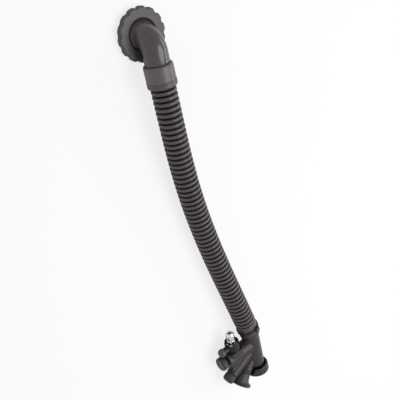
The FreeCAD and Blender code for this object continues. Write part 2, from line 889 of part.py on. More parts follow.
# ---------------------------------------------------------------- mouthpiece
def rubber_mouthpiece():
    """Rubber tube over the arm's spigot; its slanted end is an oval lip that stands on the table."""
    start = along(arm_end, arm_axis, mouth_gap)
    lip_back = along(start, arm_axis, mouth_length - lip_thickness)
    spigot_end = arm_spigot_length
    socket_radius = arm_spigot_radius + mouth_spigot_clearance
    groove_radius = mouth_root_radius - mouth_tie_thickness
    groove_end = mouth_tie_setback + mouth_tie_width + 2 * mouth_tie_clearance
    tube_part = turned(
        [
            (0, socket_radius),
            (0, mouth_root_radius),
            (mouth_tie_setback, mouth_root_radius),
            (mouth_tie_setback, groove_radius),
            (groove_end, groove_radius),
            (groove_end, mouth_root_radius),
            (mouth_length - lip_thickness, mouth_end_radius),
            (mouth_length + mouth_end_radius, mouth_end_radius),
            (mouth_length + mouth_end_radius, mouth_bore_radius),
            (spigot_end, mouth_bore_radius),
            (spigot_end, socket_radius),
        ],
        start,
        arm_axis,
    )
    tube_part = tube_part.cut(rod(mouth_length, lip_back, lip_axis, mouth_length))
    oval = Part.Ellipse(Vector(0, 0, 0), lip_half_height, lip_half_width)
    lip = Part.Face(Part.Wire([oval.toShape()])).extrude(Vector(0, 0, lip_thickness))
    lip = lip.makeFillet(lip_rounding, [edge for edge in lip.Edges if edge.Closed])
    lip.rotate(Vector(0, 0, 0), Vector(0, 0, 1), 90)
    lip.rotate(Vector(0, 0, 0), Vector(1, 0, 0), 90)
    lip.rotate(Vector(0, 0, 0), Vector(0, 0, 1), 90 - lip_angle)
    lip.translate(lip_back)
    bore_length = mouth_length + mouth_end_radius - spigot_end
    bore = rod(mouth_bore_radius, along(start, arm_axis, spigot_end), arm_axis, bore_length)
    return tube_part.fuse(lip).cut(bore)


def mouthpiece_tie():
    groove_radius = mouth_root_radius - mouth_tie_thickness + mouth_tie_clearance
    start = along(arm_end, arm_axis, mouth_gap + mouth_tie_setback + mouth_tie_clearance)
    return tube(groove_radius + mouth_tie_thickness, groove_radius, start, arm_axis, mouth_tie_width)


# ---------------------------------------------------------------- the files
PIECES = {
    "retaining_nut": retaining_nut,
    "elbow": elbow,
    "flange_gasket": flange_gasket,
    "hose_collar": hose_collar,
    "corrugated_hose": corrugated_hose,
    "lower_hose_tie": lower_hose_tie,
    "inflator_body": inflator_body,
    "nipple_guard": nipple_guard,
    "clip_stud": clip_stud,
    "qd_nipple": qd_nipple,
    "nipple_o_ring": nipple_o_ring,
    "nipple_filter": nipple_filter,
    "valve_bonnet": valve_bonnet,
    "bonnet_o_ring": bonnet_o_ring,
    "valve_seat": valve_seat,
    "inflate_stem": inflate_stem,
    "poppet_seal": poppet_seal,
    "inflate_spring": inflate_spring,
    "inflate_button": inflate_button,
    "outlet_cap": outlet_cap,
    "outlet_cap_o_ring": outlet_cap_o_ring,
    "oral_end_cap": oral_end_cap,
    "oral_o_ring": oral_o_ring,
    "oral_valve_disc": oral_valve_disc,
    "oral_stem": oral_stem,
    "oral_spring": oral_spring,
    "deflate_button": deflate_button,
    "rubber_mouthpiece": rubber_mouthpiece,
    "mouthpiece_tie": mouthpiece_tie,
}

os.makedirs("parts", exist_ok=True)
for name, make in PIECES.items():
    piece = make()
    box = piece.BoundBox
    print(name, "solids", len(piece.Solids), "valid", piece.isValid(), "volume", round(piece.Volume, 1),
          "box", [round(value, 1) for value in (box.XMin, box.YMin, box.ZMin, box.XMax, box.YMax, box.ZMax)])
    piece.exportStep("parts/" + name + ".step")
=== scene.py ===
"""Inflator hose of a diver's buoyancy jacket, lying on a white table.

Metres, in the frame of the CAD part: the origin is the centre of the nut's mouth, +X is towards the inflator.
"""

import math

import bmesh
import bpy
from mathutils import Matrix, Vector


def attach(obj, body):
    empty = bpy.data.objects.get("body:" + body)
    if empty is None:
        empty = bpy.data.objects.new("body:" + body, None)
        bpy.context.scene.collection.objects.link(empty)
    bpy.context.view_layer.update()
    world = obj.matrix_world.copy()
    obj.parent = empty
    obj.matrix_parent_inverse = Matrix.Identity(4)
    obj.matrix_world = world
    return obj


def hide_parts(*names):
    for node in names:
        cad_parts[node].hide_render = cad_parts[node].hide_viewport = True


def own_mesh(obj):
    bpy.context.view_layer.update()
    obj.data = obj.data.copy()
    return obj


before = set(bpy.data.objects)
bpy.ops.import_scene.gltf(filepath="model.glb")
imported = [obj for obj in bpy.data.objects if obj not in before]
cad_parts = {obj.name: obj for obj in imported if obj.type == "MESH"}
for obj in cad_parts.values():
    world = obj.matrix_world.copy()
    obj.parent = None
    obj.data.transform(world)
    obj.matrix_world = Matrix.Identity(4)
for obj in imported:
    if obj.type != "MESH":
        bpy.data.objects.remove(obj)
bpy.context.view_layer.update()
MM = 0.001

# ------------------------------------------------------------------ camera
# The camera looks down on the table from beside the nut, so that the hose runs away from the top left of
# the picture to the bottom right and the inflator's valves face it.
picture_side_px = 400
focal_px = 707.0
sensor_mm = 36.0
camera_place = Vector((-201.18, -441.27, 711.44)) * MM
camera_right = Vector((0.19556, 0.75502, 0.62586))
camera_up = Vector((-0.86549, 0.43298, -0.25190))

camera_data = bpy.data.cameras.new("camera")
camera = bpy.data.objects.new("camera", camera_data)
bpy.context.scene.collection.objects.link(camera)
camera_data.sensor_width = sensor_mm
camera_data.lens = focal_px / picture_side_px * camera_data.sensor_width
camera_data.clip_start = 0.01
camera_data.clip_end = 20.0
right = camera_right.normalized()
up = (camera_up - right * camera_up.dot(right)).normalized()
back = right.cross(up)
camera.matrix_world = Matrix.Translation(camera_place) @ Matrix((right, up, back)).transposed().to_4x4()
bpy.context.scene.camera = camera

# ------------------------------------------------------------------ corrugated hose
# A hose moulded in black rubber round a core, which leaves rounded ridges with narrow grooves between them
# and a smooth cuff at each end. It is pushed on the elbow's spigot and on the inflator's neck.
hose_route = [
    (36.2, 0.0, 26.0),
    (94.0, 0.0, 26.0),
    (158.0, 2.6, 21.6),
    (222.0, 8.0, 18.4),
    (286.0, 17.2, 17.0),
    (350.0, 28.6, 18.0),
    (413.0, 41.2, 20.5),
    (475.0, 54.2, 20.5),
]
ridge_radius = 16.1 * MM
groove_radius = 13.7 * MM
cuff_radius = 15.65 * MM
clamped_cuff_radius = cuff_radius - 0.3 * MM
bead_radius = 18.65 * MM
bead_start = 18.0 * MM
bead_end = 24.8 * MM
bead_taper = 2.2 * MM
first_groove = 27.4 * MM
ridge_count = 56
lower_cuff = 21.0 * MM
cuff_bore = 13.6 * MM
hose_bore = 12.3 * MM
elbow_spigot_depth = 15.2 * MM
neck_depth = 20.2 * MM
bore_step_count = 60
hose_sides = 72


def smooth_line(name, points_mm):
    """The points of a smooth spline that has the given points as its control points."""
    curve = bpy.data.curves.new(name, "CURVE")
    curve.dimensions = "3D"
    curve.resolution_u = 64
    spline = curve.splines.new("NURBS")
    spline.points.add(len(points_mm) - 1)
    for control, point in zip(spline.points, points_mm):
        control.co = (point[0] * MM, point[1] * MM, point[2] * MM, 1.0)
    spline.order_u = 3
    spline.use_endpoint_u = True
    holder = bpy.data.objects.new(name, curve)
    bpy.context.scene.collection.objects.link(holder)
    bpy.context.view_layer.update()
    line = bpy.data.meshes.new_from_object(holder)
    places = [vertex.co.copy() for vertex in line.vertices]
    bpy.data.objects.remove(holder)
    bpy.data.meshes.remove(line)
    return places


hose_line = smooth_line("hose_route", hose_route)
hose_stations = [0.0]
for before, after in zip(hose_line, hose_line[1:]):
    hose_stations.append(hose_stations[-1] + (after - before).length)
line_length = hose_stations[-1]


def hose_place(distance):
    """The point of the hose's line at a distance from its start, and the line's direction there."""
    distance = min(max(distance, 0.0), line_length)
    index = 1
    while index < len(hose_stations) - 1 and hose_stations[index] < distance:
        index += 1
    step = hose_line[index] - hose_line[index - 1]
    share = (distance - hose_stations[index - 1]) / step.length
    return hose_line[index - 1] + step * share, step.normalized()


ridge_pitch = (line_length - lower_cuff - first_groove) / ridge_count
# distance from a groove's middle as a share of the pitch, and how far up the ridge's height it is there
ridge_shape = [(0.0, 0.0), (0.12, 0.03), (0.17, 0.25), (0.21, 0.62), (0.26, 0.88), (0.34, 0.98),
               (0.5, 1.0), (0.66, 0.98), (0.74, 0.88), (0.79, 0.62), (0.83, 0.25), (0.88, 0.03)]
# distance along the hose and radius there, from the clamped cuff over the bead to the first groove
hose_profile = [(0.0, cuff_bore), (0.0, clamped_cuff_radius), (bead_start - 0.8 * MM, clamped_cuff_radius),
                (bead_start - 0.5 * MM, bead_radius - 0.5 * MM), (bead_start, bead_radius),
                (bead_end - 0.6 * MM, bead_radius), (bead_end, bead_radius - 0.25 * MM),
                (bead_end + bead_taper * 0.6, ridge_radius - 0.2 * MM)]
for ridge in range(ridge_count):
    for share, height in ridge_shape:
        radius = groove_radius + height * (ridge_radius - groove_radius)
        hose_profile.append((first_groove + (ridge + share) * ridge_pitch, radius))
last_groove = first_groove + ridge_count * ridge_pitch
hose_profile += [(last_groove, groove_radius), (last_groove + 0.5 * MM, groove_radius + 0.5 * MM),
                 (last_groove + 1.0 * MM, cuff_radius - 0.4 * MM), (last_groove + 1.8 * MM, cuff_radius),
                 (line_length - 0.5 * MM, cuff_radius), (line_length - 0.05 * MM, cuff_radius - 0.5 * MM),
                 (line_length - 0.05 * MM, cuff_bore), (line_length - neck_depth, cuff_bore)]
# back through the bore, which is wider where the spigot and the neck fill it
bore_length = line_length - neck_depth - 0.2 * MM - elbow_spigot_depth
hose_profile += [(elbow_spigot_depth + bore_length * (1 - step / bore_step_count), hose_bore)
                 for step in range(bore_step_count + 1)]
hose_profile.append((elbow_spigot_depth - 0.2 * MM, cuff_bore))


def new_piece(name, mesh):
    """A mesh becomes a piece of the scene, with its faces turned outward and shaded smooth."""
    outward = bmesh.new()
    outward.from_mesh(mesh)
    bmesh.ops.recalc_face_normals(outward, faces=outward.faces)
    outward.to_mesh(mesh)
    outward.free()
    for polygon in mesh.polygons:
        polygon.use_smooth = True
    piece = bpy.data.objects.new(name, mesh)
    bpy.context.scene.collection.objects.link(piece)
    return piece


def skin_rings(rings, close_ends=False, loop=False):
    """A mesh with a skin of four-sided faces over rings that have the same number of points.

    The skin may be closed by a face at each end, or by a loop from the last ring to the first.
    """
    sides = len(rings[0])
    vertices = [point for ring in rings for point in ring]
    faces = []
    for row in range(len(rings) if loop else len(rings) - 1):
        here = row * sides
        there = (row + 1) % len(rings) * sides
        for column in range(sides):
            beside = (column + 1) % sides
            faces.append((here + column, here + beside, there + beside, there + column))
    if close_ends:
        faces.append(tuple(reversed(range(sides))))
        faces.append(tuple((len(rings) - 1) * sides + column for column in range(sides)))
    mesh = bpy.data.meshes.new("skin")
    mesh.from_pydata([tuple(vertex) for vertex in vertices], [], faces)
    return mesh


hose_rings = []
for distance, radius in hose_profile:
    place, direction = hose_place(distance)
    across = direction.cross(Vector((0, 0, 1))).normalized()
    over = across.cross(direction)
    ring = []
    for column in range(hose_sides):
        angle = 2 * math.pi * column / hose_sides
        ring.append(place + across * (radius * math.cos(angle)) + over * (radius * math.sin(angle)))
    hose_rings.append(ring)
hose = new_piece("hose_moulded", skin_rings(hose_rings, loop=True))
# how deep in a groove each point lies, from 0 on the ridges to 1 at the bottom; the rubber paints shade into
# the grooves by it
groove_depth = hose.data.attributes.new("groove_depth", "FLOAT", "POINT")
for row, (distance, radius) in enumerate(hose_profile):
    depth = min(max((clamped_cuff_radius - radius) / (cuff_radius - groove_radius), 0.0), 1.0)
    for column in range(hose_sides):
        groove_depth.data[row * hose_sides + column].value = depth


def linear(hex_colour):
    """An sRGB hex colour as the linear numbers that a shader takes."""
    channels = [int(hex_colour[place:place + 2], 16) / 255 for place in (1, 3, 5)]
    return tuple([c / 12.92 if c <= 0.04045 else ((c + 0.055) / 1.055) ** 2.4 for c in channels] + [1.0])


def add(tree, kind, settings=None, links=None):
    """Adds one shader node with its own settings, its sockets' values and the links into its sockets."""
    node = tree.nodes.new(kind)
    for key, value in (settings or {}).items():
        if isinstance(key, int) or key in node.inputs:
            node.inputs[key].default_value = value
        else:
            setattr(node, key, value)
    for socket, source in (links or {}).items():
        tree.links.new(source, node.inputs[socket])
    return node


def moulded_material(name, colour, shade, roughness, grain_mm, grain_height_mm, cloud_mm, scuff=None,
                     hollow=None, **shader_values):
    """Moulded plastic or rubber: a clouded colour and an even grain.

    The scuff is the colour of rubbed edges. The hollow is painted shade: a darker colour and a duller sheen
    laid in grooves by their depth.
    """
    material = bpy.data.materials.new(name)
    material.use_nodes = True
    tree = material.node_tree
    tree.nodes.clear()
    place = add(tree, "ShaderNodeTexCoord").outputs["Object"]
    cloud = add(tree, "ShaderNodeTexNoise", {"Scale": 1 / (cloud_mm * MM), "Detail": 3.0}, {"Vector": place})
    tint = add(tree, "ShaderNodeMix", {"data_type": "RGBA", 6: linear(shade), 7: linear(colour)},
               {0: cloud.outputs["Fac"]})
    surface = tint.outputs[2]
    if scuff:
        edge = add(tree, "ShaderNodeNewGeometry").outputs["Pointiness"]
        rubbed = add(tree, "ShaderNodeMapRange", {"From Min": 0.53, "From Max": 0.62, "To Max": 0.5},
                     {"Value": edge})
        surface = add(tree, "ShaderNodeMix", {"data_type": "RGBA", 7: linear(scuff)},
                      {0: rubbed.outputs["Result"], 6: surface}).outputs[2]
    # Painted shade: the hollow colour darkens the surface by how deep in a groove it lies.
    if hollow:
        depth = add(tree, "ShaderNodeAttribute", {"attribute_name": "groove_depth"}).outputs["Fac"]
        deep = add(tree, "ShaderNodeMapRange", {"From Min": 0.05, "From Max": 0.5}, {"Value": depth})
        surface = add(tree, "ShaderNodeMix", {"data_type": "RGBA", 7: linear(hollow)},
                      {0: deep.outputs["Result"], 6: surface}).outputs[2]
    grain = add(tree, "ShaderNodeTexNoise", {"Scale": 1 / (grain_mm * MM), "Detail": 2.0}, {"Vector": place})
    bump = add(tree, "ShaderNodeBump", {"Strength": 0.6, "Distance": grain_height_mm * MM},
               {"Height": grain.outputs["Fac"]})
    gloss = add(tree, "ShaderNodeMapRange", {"To Min": roughness - 0.05, "To Max": roughness + 0.07},
                {"Value": cloud.outputs["Fac"]})
    shader = add(tree, "ShaderNodeBsdfPrincipled", shader_values,
                 {"Base Color": surface, "Roughness": gloss.outputs["Result"],
                  "Normal": bump.outputs["Normal"]})
    # Painted shade: the sheen is lowered in the grooves by the same depth.
    if hollow:
        sheen = shader_values["Specular IOR Level"]
        dull = add(tree, "ShaderNodeMapRange", {"To Min": sheen, "To Max": 0.12},
                   {"Value": deep.outputs["Result"]})
        tree.links.new(dull.outputs["Result"], shader.inputs["Specular IOR Level"])
    add(tree, "ShaderNodeOutputMaterial", {}, {"Surface": shader.outputs["BSDF"]})
    return material


def finish_with(piece, material):
    piece.data.materials.clear()
    piece.data.materials.append(material)


# Grey-black rubber with a soft sheen on the ridges. The grooves are painted darker and duller: painted shade
# for the shade that falls deep in them.
# The real mould grain is about 0.1 mm and is drawn at 0.9 mm so that it shows.
hose_rubber = moulded_material("moulded_neoprene_rubber", "#544c4e", "#443d3f", 0.4, 0.9, 0.05, 14.0,
                               hollow="#141112", **{"IOR": 1.52, "Specular IOR Level": 0.45})
finish_with(hose, hose_rubber)
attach(hose, "hose_and_inflator")
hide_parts("corrugated_hose")

# ------------------------------------------------------------------ table, lamps and white surroundings
# The part lies on a matt white table in a white room. The lamps are large and soft, with the strongest
# overhead, and a long low strip beyond the hose draws thin streaks on the polished and rounded pieces.
table_side = 6.0
table_white = "#f2f2f1"
table_glow = 0.77
room_light = 0.26
room_mirrored = 0.65
table = bpy.data.meshes.new("table")
half_side = table_side / 2
table.from_pydata([(-half_side, -half_side, 0), (half_side, -half_side, 0),
                   (half_side, half_side, 0), (-half_side, half_side, 0)], [], [(0, 1, 2, 3)])
table_top = bpy.data.objects.new("table_top", table)
bpy.context.scene.collection.objects.link(table_top)
# White laminate, matt: it takes the soft shadow, and glows a little to the eye so that it stays white.
matt_white = bpy.data.materials.new("matt_white_laminate")
matt_white.use_nodes = True
tree = matt_white.node_tree
tree.nodes.clear()
ray = add(tree, "ShaderNodeLightPath")
diffuse = add(tree, "ShaderNodeBsdfDiffuse", {"Color": linear(table_white)})
glow = add(tree, "ShaderNodeEmission", {"Color": (1, 1, 1, 1), "Strength": 1.0})
seen = add(tree, "ShaderNodeMath", {"operation": "MAXIMUM"},
           {0: ray.outputs["Is Camera Ray"], 1: ray.outputs["Is Transmission Ray"]})
share = add(tree, "ShaderNodeMath", {"operation": "MULTIPLY", 1: table_glow}, {0: seen.outputs[0]})
mixed = add(tree, "ShaderNodeMixShader", {},
            {0: share.outputs[0], 1: diffuse.outputs[0], 2: glow.outputs[0]})
add(tree, "ShaderNodeOutputMaterial", {}, {"Surface": mixed.outputs[0]})
finish_with(table_top, matt_white)

world = bpy.data.worlds.new("white_room")
bpy.context.scene.world = world
world.use_nodes = True
tree = world.node_tree
tree.nodes.clear()
ray = add(tree, "ShaderNodeLightPath")
seen = add(tree, "ShaderNodeMath", {"operation": "MAXIMUM"},
           {0: ray.outputs["Is Camera Ray"], 1: ray.outputs["Is Transmission Ray"]})
unseen = add(tree, "ShaderNodeMapRange", {"To Min": room_light, "To Max": room_mirrored},
             {"Value": ray.outputs["Is Glossy Ray"]})
strength = add(tree, "ShaderNodeMapRange", {"To Max": 1.0},
               {"Value": seen.outputs[0], "To Min": unseen.outputs["Result"]})
room = add(tree, "ShaderNodeBackground", {"Color": (1, 1, 1, 1)}, {"Strength": strength.outputs["Result"]})
add(tree, "ShaderNodeOutputWorld", {}, {"Surface": room.outputs[0]})

hose_middle = Vector((0.27, 0.03, 0.02))
# name, place, length and width in metres, power in watts
for name, place, length, width, power in (
    ("overhead_lamp", Vector((0.35, 0.45, 1.3)), 1.5, 1.1, 13.0),
    ("strip_lamp", Vector((0.35, 1.2, 0.5)), 2.2, 0.14, 6.0),
    ("side_lamp", Vector((-0.6, -1.1, 0.4)), 0.9, 0.9, 5.0),
    ("end_lamp", Vector((1.3, -0.1, 0.8)), 0.8, 0.8, 2.5),
):
    lamp_data = bpy.data.lights.new(name, "AREA")
    lamp_data.shape = "ELLIPSE"
    lamp_data.size = length
    lamp_data.size_y = width
    lamp_data.energy = power
    lamp = bpy.data.objects.new(name, lamp_data)
    bpy.context.scene.collection.objects.link(lamp)
    lamp.location = place
    lamp.visible_glossy = name in ("overhead_lamp", "strip_lamp")
    lamp.rotation_euler = (place - hose_middle).to_track_quat("Z", "Y").to_euler()
bpy.context.scene.view_settings.view_transform = "Standard"

# ------------------------------------------------------------------ retaining nut
# A ring moulded in glass-filled nylon, with shallow scallops round its rim for wet fingers. Its inner thread
# screws on the jacket's boss, and its lip holds the elbow's flange.
nut_radius = 32.8
nut_foot_radius = 28.8
nut_foot_height = 4.5
nut_height = 10.4
nut_opening_radius = 19.4
nut_thread_radius = 25.0
nut_relief_radius = 25.3
nut_thread_top = 4.4
nut_lip_underside = 7.8
scallop_count = 14
scallop_depth = 1.8
scallop_radius = 5.5
nut_sides = scallop_count * 24
thread_turns = 3
thread_start = 0.9
thread_pitch = 1.15
thread_depth = 0.6


def rounded(corners, radius, steps=4):
    """An outline with each corner between its two ends turned into a small arc."""
    outline = [Vector(corners[0])]
    for before, corner, after in zip(corners, corners[1:], corners[2:]):
        corner = Vector(corner)
        back = Vector(before) - corner
        ahead = Vector(after) - corner
        reach = min(radius, 0.45 * back.length, 0.45 * ahead.length)
        start = corner + back.normalized() * reach
        end = corner + ahead.normalized() * reach
        for step in range(steps + 1):
            share = step / steps
            outline.append(start * (1 - share) ** 2 + corner * (2 * share * (1 - share)) + end * share ** 2)
    outline.append(Vector(corners[-1]))
    return outline


def across_axes(direction):
    """Two directions square to an axis and to each other."""
    helper = Vector((0, 0, 1)) if abs(direction.z) < 0.9 else Vector((1, 0, 0))
    first = direction.cross(helper).normalized()
    return first, direction.cross(first)


def turned(name, outline, origin, direction, sides=64, reshape=None, closed=True):
    """A piece turned about an axis: the outline holds (distance along the axis, radius), in millimetres.

    A closed outline is a ring with a hole; an open one ends close to the axis at both ends.
    reshape may change a radius, given the angle and the distance.
    """
    first, second = across_axes(direction)
    rings = []
    for distance, radius in outline:
        ring = []
        for column in range(sides):
            angle = 2 * math.pi * column / sides
            reach = reshape(angle, distance, radius) if reshape else radius
            spoke = first * math.cos(angle) + second * math.sin(angle)
            ring.append((origin + direction * distance + spoke * reach) * MM)
        rings.append(ring)
    mesh = skin_rings(rings, close_ends=not closed, loop=closed)
    return new_piece(name, mesh)


def scalloped(angle, distance, radius):
    """The rim's radius with a shallow round scallop at each finger place."""
    if radius < nut_foot_radius - 1:
        return radius
    step = 2 * math.pi / scallop_count
    offset = angle % step - step / 2
    centre = nut_radius + scallop_radius - scallop_depth
    under_root = scallop_radius ** 2 - (centre * math.sin(offset)) ** 2
    if under_root <= 0:
        return radius
    hollow = centre * math.cos(offset) - math.sqrt(under_root)
    soft = 0.35
    blend = max(soft - abs(hollow - nut_radius), 0.0) / soft
    rim = min(hollow, nut_radius) - blend * blend * soft / 4
    return min(radius, rim) if distance < nut_foot_height else radius - (nut_radius - rim)


up_axis = Vector((0, 0, 1))
nut_outline = rounded([
    (nut_lip_underside, nut_opening_radius + 3), (nut_lip_underside, nut_opening_radius),
    (nut_height - 0.6, nut_opening_radius), (nut_height, nut_opening_radius + 1.0),
    (nut_height, nut_radius - 1.6), (nut_height - 1.5, nut_radius), (nut_foot_height, nut_radius),
    (0.0, nut_foot_radius), (0.0, nut_thread_radius + 0.8), (0.7, nut_thread_radius),
], 0.7)
for turn in range(thread_turns):
    start = thread_start + thread_pitch * turn
    nut_outline += [Vector(corner) for corner in (
        (start, nut_thread_radius), (start + 0.35, nut_thread_radius + thread_depth),
        (start + 0.6, nut_thread_radius + thread_depth), (start + 0.95, nut_thread_radius))]
nut_outline += [Vector(corner) for corner in (
    (nut_thread_top, nut_thread_radius), (nut_thread_top, nut_relief_radius),
    (nut_lip_underside, nut_relief_radius))]
nut = turned("nut_moulded", nut_outline, Vector(), up_axis, nut_sides, scalloped)
# Glass-filled nylon out of a fine-grained mould: dull, with a faint sparkle of grain and pale rubbed edges.
nut_nylon = moulded_material("moulded_glass_filled_nylon", "#504a4b", "#423d3e", 0.42, 1.1, 0.035, 18.0,
                             "#5b5857", **{"IOR": 1.53, "Specular IOR Level": 0.4})
finish_with(nut, nut_nylon)
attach(nut, "nut")
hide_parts("retaining_nut")

# ------------------------------------------------------------------ flange gasket
# A flat ring of soft rubber, cut from sheet, that lies under the elbow's flange and seals it to the jacket.
gasket_bottom = 4.6
gasket_thickness = 1.4
gasket_radius = 23.8
gasket_bore = 13.0
gasket_top = gasket_bottom + gasket_thickness
gasket = turned("gasket_ring", rounded([
    (gasket_bottom, 18.0), (gasket_bottom, gasket_radius), (gasket_top, gasket_radius),
    (gasket_top, gasket_bore), (gasket_bottom, gasket_bore), (gasket_bottom, 17.9)], 0.25),
    Vector(), up_axis, 96)
# Nitrile sheet: matt, and darker than the nylon round it.
seal_rubber = moulded_material("nitrile_rubber", "#232222", "#191919", 0.55, 0.8, 0.03, 6.0, **{"IOR": 1.5})
finish_with(gasket, seal_rubber)
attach(gasket, "hose_and_inflator")
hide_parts("flange_gasket")

# ------------------------------------------------------------------ elbow
# A right-angle pipe with a flange, moulded in one piece of polished ABS in a two-part mould, which leaves
# a fine line along its top and bottom. It widens to a foot over the flange that the nut holds.
base_height = 6.0
bend_radius = 20.0
pipe_radius = 15.6
pipe_bore = 11.4
elbow_spigot_radius = 13.5
flange_top = 7.6
elbow_flange_radius = 24.6
foot_radius = 18.6
foot_angle = math.radians(22.0)
pipe_end = 36.0
spigot_end = 51.0
elbow_sides = 96
bend_steps = 36
foot_steps = 8
mould_line_height = 0.06


def bend_place(share):
    """A point of the elbow's middle line in the bend, and the direction there; the share runs from 0 to 1."""
    angle = share * math.pi / 2
    place = Vector((bend_radius * (1 - math.cos(angle)), 0, base_height + bend_radius * math.sin(angle)))
    return place, Vector((math.sin(angle), 0, math.cos(angle)))


def elbow_ring(place, direction, radius, mould_line=0.0):
    """A ring of points about the elbow's middle line, raised a little on the mould's line."""
    second = Vector((0, 1, 0))
    first = second.cross(direction)
    ring = []
    for column in range(elbow_sides):
        angle = 2 * math.pi * column / elbow_sides
        at_line = column % (elbow_sides // 2) == 0
        reach = radius + (mould_line if at_line else 0.0)
        ring.append((place + first * (math.cos(angle) * reach) + second * (math.sin(angle) * reach)) * MM)
    return ring


level = Vector((1, 0, 0))
elbow_height = base_height + bend_radius
elbow_rings = [elbow_ring(Vector((0, 0, base_height)), up_axis, pipe_bore + 0.3)]
for height, radius in (
    (base_height, elbow_flange_radius - 0.5), (base_height + 0.15, elbow_flange_radius - 0.1),
    (base_height + 0.5, elbow_flange_radius), (flange_top - 0.5, elbow_flange_radius),
    (flange_top - 0.1, elbow_flange_radius - 0.15), (flange_top, elbow_flange_radius - 0.5),
    (flange_top, foot_radius + 0.5), (flange_top + 0.1, foot_radius + 0.15),
):
    elbow_rings.append(elbow_ring(Vector((0, 0, height)), up_axis, radius))
foot_start = math.asin((flange_top + 0.4 - base_height) / bend_radius)
for step in range(foot_steps + 1):
    share = step / foot_steps
    angle = foot_start + (foot_angle - foot_start) * share
    place, direction = bend_place(angle / (math.pi / 2))
    lean = Vector((math.sin(angle * share), 0, math.cos(angle * share)))
    radius = pipe_radius + (foot_radius - pipe_radius) * (1 - share) ** 1.5
    elbow_rings.append(elbow_ring(place, lean, radius))
for step in range(10, bend_steps + 1):
    place, direction = bend_place(step / bend_steps)
    elbow_rings.append(elbow_ring(place, direction, pipe_radius, mould_line_height))
for distance, radius, line in (
    (pipe_end - 0.6, pipe_radius, mould_line_height), (pipe_end, pipe_radius - 0.4, 0.0),
    (pipe_end, elbow_spigot_radius, 0.0), (spigot_end, elbow_spigot_radius, 0.0),
    (spigot_end, pipe_bore, 0.0), (bend_radius, pipe_bore, 0.0),
):
    elbow_rings.append(elbow_ring(Vector((distance, 0, elbow_height)), level, radius, line))
for step in range(bend_steps - 2, 0, -2):
    place, direction = bend_place(step / bend_steps)
    elbow_rings.append(elbow_ring(place, direction, pipe_bore))
elbow = new_piece("elbow_moulded", skin_rings(elbow_rings, loop=True))
# Polished ABS: long sharp highlights along the bend, with almost no grain.
gloss_abs = moulded_material("polished_black_abs", "#4a4546", "#3f3a3b", 0.27, 3.0, 0.02, 25.0,
                             **{"IOR": 1.54, "Specular IOR Level": 0.45,
                                "Coat Weight": 0.25, "Coat Roughness": 0.12})
finish_with(elbow, gloss_abs)
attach(elbow, "hose_and_inflator")
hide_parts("elbow")

# ------------------------------------------------------------------ hose collar
# A smooth sleeve of moulded nylon, pushed over the hose end to clamp it on the elbow's spigot.
collar_start = 34.0
collar_length = 20.0
collar_radius = 18.4
collar_bore = 15.85
collar_hole = 15.7
collar = turned("collar_sleeve", rounded([
    (1.0, collar_hole), (0.0, collar_hole), (0.0, collar_radius - 1.4), (0.9, collar_radius - 0.3),
    (2.5, collar_radius), (collar_length, collar_radius), (collar_length, collar_bore), (2.0, collar_bore),
    (2.0, collar_hole)], 0.5), Vector((collar_start, 0, elbow_height)), level, 96)
# Moulded nylon: smooth, satin and a little paler than the rubber, with darker worn edges.
satin_nylon = moulded_material("moulded_satin_nylon", "#625d5e", "#565152", 0.33, 1.6, 0.02, 16.0,
                               "#4b4847", **{"IOR": 1.53, "Specular IOR Level": 0.4})
finish_with(collar, satin_nylon)
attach(collar, "hose_and_inflator")
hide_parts("hose_collar")

# ------------------------------------------------------------------ lower hose tie
# A nylon cable tie pulled tight round the lower cuff, which holds the hose on the inflator's neck. Its
# ratchet head stands on the upper side, and the strap has the fine teeth that the ratchet grips.
neck = Vector((475.0, 54.2, 20.5))
neck_axis = (Vector(hose_route[-1]) - Vector(hose_route[-2])).normalized()
tie_from_neck = 11.0
tie_place = neck - neck_axis * tie_from_neck
strap_inside = 15.8
strap_outside = 17.0
strap_width = 5.0
strap_teeth = 84
tooth_depth = 0.18
tooth_sides = 6
head_length = 8.0
head_width = 6.5
head_height = 4.0
head_lean = math.radians(15.0)


def toothed(angle, distance, radius):
    """Fine teeth across the middle of the strap."""
    if radius < strap_outside - 0.05 or abs(distance - strap_width / 2) > strap_width / 3:
        return radius
    return radius - tooth_depth * (0.5 + 0.5 * math.cos(strap_teeth * angle))


def block(name, sides_mm, centre, axes, edge, steps=4):
    """A box with rounded edges about its centre; its three sides lie along the three axes."""
    length, width, height = sides_mm
    rings = []
    for end, turns in ((-1, range(steps, -1, -1)), (1, range(steps + 1))):
        for turn in turns:
            lift = turn / steps * math.pi / 2
            rise = end * (height / 2 - edge * (1 - math.sin(lift)))
            reach = edge * math.cos(lift) + 0.001
            ring = []
            for corner in range(4):
                middle = (axes[0] * (length / 2 - edge) * (1 if corner in (0, 3) else -1)
                          + axes[1] * (width / 2 - edge) * (1 if corner in (0, 1) else -1))
                for step in range(steps + 1):
                    angle = (corner + step / steps) * math.pi / 2
                    spoke = axes[0] * math.cos(angle) + axes[1] * math.sin(angle)
                    ring.append((centre + middle + spoke * reach + axes[2] * rise) * MM)
            rings.append(ring)
    return new_piece(name, skin_rings(rings, close_ends=True))


strap = turned("tie_strap", rounded([
    (0.6, strap_inside), (0.0, strap_inside), (0.0, strap_outside - 0.3), (0.3, strap_outside),
    (0.9, strap_outside), (1.7, strap_outside), (3.3, strap_outside), (4.1, strap_outside),
    (strap_width - 0.3, strap_outside), (strap_width, strap_outside - 0.3), (strap_width, strap_inside),
    (0.7, strap_inside)], 0.15), tie_place, neck_axis, strap_teeth * tooth_sides, toothed)
tie_across = Vector((-neck_axis.y, neck_axis.x, 0))
tie_up = up_axis * math.cos(head_lean) + tie_across * math.sin(head_lean)
tie_side = neck_axis.cross(tie_up)
tie_head = block("tie_head", (head_width, head_length, head_height),
                 tie_place + neck_axis * (strap_width / 2) + tie_up * (strap_inside + head_height / 2),
                 (neck_axis, tie_side, tie_up), 0.7)
